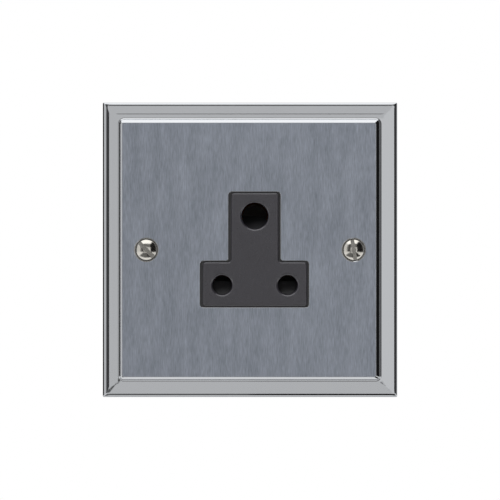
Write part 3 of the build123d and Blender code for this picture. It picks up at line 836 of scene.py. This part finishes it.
line_z, earth_z, joining_z = -10.243, 9.843, -0.2
clamp_places = ((right_x, line_z), (left_x, line_z), (right_x, earth_z))
wire_clamps = [(x, z, 13.2, 10.4) for x, z in clamp_places]
cheese_screws(
    "wire_clamp_screws", wire_clamps, drawn_brass, "terminal_screws",
    head_radius=2.4, head_height=1.6, shank=1.75, pitch=0.6,
)
joining = [(x, joining_z, 7.5, -2.2) for x in (right_x, left_x)]
cheese_screws(
    "moulding_screws", joining, zinc_plate, "housing_screws",
    head_radius=2.7, head_height=1.9, shank=1.45, pitch=0.9,
)
holding = [(right_x, upper_post_z, 2.1, -3.6), (left_x, lower_post_z, 1.5, -3.6)]
cheese_screws(
    "post_screws", holding, zinc_plate, "mechanism_screws",
    head_radius=2.75, head_height=1.9, shank=1.5, pitch=0.5,
)

# %% Toothed washers
teeth = 12
hoop_inner, hoop_outer, washer_half, washer_middle = 1.6, 2.3, 0.13, 0.25
tooth_root, tooth_tip, tooth_twist = 2.25, 2.9, 0.12
half_widths = {tooth_root: 0.36, tooth_tip: 0.3}
bm = bmesh.new()
for x, z, front in ((right_x, upper_post_z, 1.6), (left_x, lower_post_z, 1.0)):
    middle = front + washer_middle
    near, far = middle - washer_half, middle + washer_half
    section = [(hoop_inner, near), (hoop_outer, near), (hoop_outer, far), (hoop_inner, far)]
    hoop = [ring_of(bm, circle(x * MM, z * MM, radius * MM), y * MM) for radius, y in section]
    join_in_turn(bm, hoop + hoop[:1])
    for tooth in range(teeth):
        ends = []
        for radius, half_width in half_widths.items():
            twist = tooth_twist * (radius - tooth_root) / (tooth_tip - tooth_root)
            corners = []
            for side, skin in ((-1, -1), (1, -1), (1, 1), (-1, 1)):
                angle = 2 * pi * (tooth + side * half_width) / teeth
                y = middle + side * twist + skin * washer_half
                corners.append((x + radius * cos(angle), y, z + radius * sin(angle)))
            ends.append([bm.verts.new(Vector(corner) * MM) for corner in corners])
        join_rings(bm, *ends)
        bm.faces.new(ends[1])
add_piece("toothed_washers", bm, [zinc_plate], "lock_washers")

# %% [markdown]
# The shutter's spring
#
# A small coil of spring steel sits in the shutter's slot on a peg and pushes the shutter up. Its end
# turns lie closed, as they do on a real compression spring, so its pitch changes along the wire. The
# spring is a round section carried along that line. The wire is drawn and lightly oiled, which gives it
# a dark grey shine with small changes along it.

# %% Spring steel
draw_mark_mm = 0.5
spring_steel, tree, shader, place = new_finish("drawn_spring_steel", Metallic=1.0)
marks = add_node(
    tree, "ShaderNodeTexNoise", {"Vector": place, "Scale": 1 / (draw_mark_mm * MM), "Detail": 4.0}
)
vary(tree, shader, marks.outputs["Fac"], ("#6f6e6d", "#b3b2b0"), (0.2, 0.4))
print("made", spring_steel.name)

# %% Line of the coil
low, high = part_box("shutter_spring")
wire = 0.18 * MM
coil = (high.x - low.x) / 2 - wire
middle = (low + high) / 2
bottom, top = low.z + wire, high.z - wire
turns, steps, closed = 8.0, 28, 0.9
end_rise = 0.4 * MM
count = int(turns * steps)
path = []
for i in range(count + 1):
    turn = i / steps
    if turn < closed:
        rise = end_rise * turn / closed
    elif turn > turns - closed:
        rise = top - bottom - end_rise * (turns - turn) / closed
    else:
        rise = end_rise + (top - bottom - 2 * end_rise) * (turn - closed) / (turns - 2 * closed)
    angle = 2 * pi * turn
    path.append(Vector((middle.x + coil * cos(angle), middle.y + coil * sin(angle), bottom + rise)))
print("coil of", turns, "turns,", round(2 * coil / MM, 2), "mm across its middle")

# %% Coil spring
round_steps = 10
section = [(cos(2 * pi * k / round_steps), sin(2 * pi * k / round_steps)) for k in range(round_steps)]
bm = bmesh.new()
sections = []
for i, point in enumerate(path):
    ahead = (path[min(i + 1, count)] - path[max(i - 1, 0)]).normalized()
    out = Vector((point.x - middle.x, point.y - middle.y, 0)).normalized()
    up = out.cross(ahead)
    sections.append([bm.verts.new(point + wire * (out * a + up * b)) for a, b in section])
join_in_turn(bm, sections)
bm.faces.new(sections[0])
bm.faces.new(sections[-1])
coil_spring = add_piece("shutter_coil_spring", bm, [spring_steel], "shutter_spring")
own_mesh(coil_spring)

# %% [markdown]
# Moulded pieces
#
# The remaining pieces keep their CAD shapes, which already have their rounded edges, and get finishes.
# The insert and the base are compression-moulded thermoset. Against the hot mould the resin comes to
# the surface and leaves a thin glossy skin over a satin body. On the black insert that gives bright
# lines along the edges and round the pin holes, and a coat over the satin finish does the same here.
# The base is out of sight and goes without the coat. The shutter is moulded nylon, more matt. A mould's
# texture is a few hundredths of a millimetre across, and it is drawn some ten times coarser to show.

# %% Thermoset and nylon
drift_mm = 6
skin_depth = 0.02 * MM
gloss_spread = 0.08


def moulded(name, shades, roughness, grain_mm, **sockets):
    """A moulded plastic with a faint drift of colour and the fine skin of its mould."""
    material, tree, shader, place = new_finish(name, **sockets)
    drift = add_node(
        tree,
        "ShaderNodeTexNoise",
        {"Vector": place, "Scale": 1 / (drift_mm * MM), "Detail": 5.0, "Roughness": 0.6},
    )
    skin = add_node(
        tree, "ShaderNodeTexNoise", {"Vector": place, "Scale": 1 / (grain_mm * MM), "Detail": 2.0}
    )
    vary(tree, shader, drift.outputs["Fac"], shades)
    vary(tree, shader, skin.outputs["Fac"], roughness=(roughness - gloss_spread, roughness + gloss_spread))
    texture = add_node(
        tree, "ShaderNodeBump", {"Height": skin.outputs["Fac"], "Strength": 0.2, "Distance": skin_depth}
    )
    tree.links.new(texture.outputs[0], shader.inputs["Normal"])
    print("made", name)
    return material


resin_skin = {"IOR": 1.6, "Coat_Weight": 1.0, "Coat_Roughness": 0.25, "Coat_IOR": 1.6}
black_thermoset = moulded("moulded_black_thermoset", ("#1b1920", "#26242b"), 0.3, 0.25, **resin_skin)
base_thermoset = moulded("moulded_dark_grey_thermoset", ("#3f3f41", "#4c4b4d"), 0.5, 0.3, IOR=1.5)
dark_nylon = moulded("moulded_dark_nylon", ("#1a1a1c", "#222224"), 0.48, 0.35, IOR=1.5)

# %% [markdown]
# Sheet and strip
#
# The insulating plate is pressed from black fibre, matt with soft streaks where the fibres lie. The
# contacts are phosphor bronze strip, redder than brass, with the fine lines of the rolling mill. In
# both a noise is stretched along one axis, because fibres and mill lines run one way. Real mill lines
# are some ten times finer than these, which are drawn a quarter of a millimetre wide so that they show.

# %% Fibre sheet and bronze
fibre, tree, shader, place = new_finish("pressed_black_fibre", IOR=1.5)
pressed = add_node(tree, "ShaderNodeMapping", {"Vector": place, "Scale": per_metre(0.5, 0.5, 2.2)})
streaks = add_node(
    tree,
    "ShaderNodeTexNoise",
    {"Vector": pressed.outputs[0], "Scale": 1.0, "Detail": 6.0, "Roughness": 0.6},
)
vary(tree, shader, streaks.outputs["Fac"], ("#262523", "#383633"), (0.6, 0.8))

bronze, tree, shader, place = new_finish("rolled_phosphor_bronze", Metallic=1.0)
mill = add_node(tree, "ShaderNodeMapping", {"Vector": place, "Scale": per_metre(3.0, 0.25, 0.25)})
lines = add_node(tree, "ShaderNodeTexNoise", {"Vector": mill.outputs[0], "Scale": 1.0, "Detail": 4.0})
vary(tree, shader, lines.outputs["Fac"], ("#a8703f", "#cf9a66"), (0.22, 0.4))
print("made", fibre.name, "and", bronze.name)

# %% [markdown]
# Dressing the CAD pieces
#
# Each remaining piece takes the finish of what it is made of. Only the material changes, so the pieces
# stay exactly where the frame has them.

# %% Finishes for the CAD pieces
finishes = {
    black_thermoset: ["socket_front"],
    base_thermoset: ["socket_base"],
    dark_nylon: ["shutter"],
    fibre: ["insulating_plate"],
    bronze: ["line_contact", "neutral_contact", "earth_contact"],
    spring_steel: ["line_grip_spring", "neutral_grip_spring", "earth_grip_spring"],
    drawn_brass: ["line_terminal", "neutral_terminal", "earth_terminal", "earth_strap"],
}
for material, names in finishes.items():
    for name in names:
        nodes[name].data.materials.clear()
        nodes[name].data.materials.append(material)
print("dressed", sum(map(len, finishes.values())), "CAD pieces")
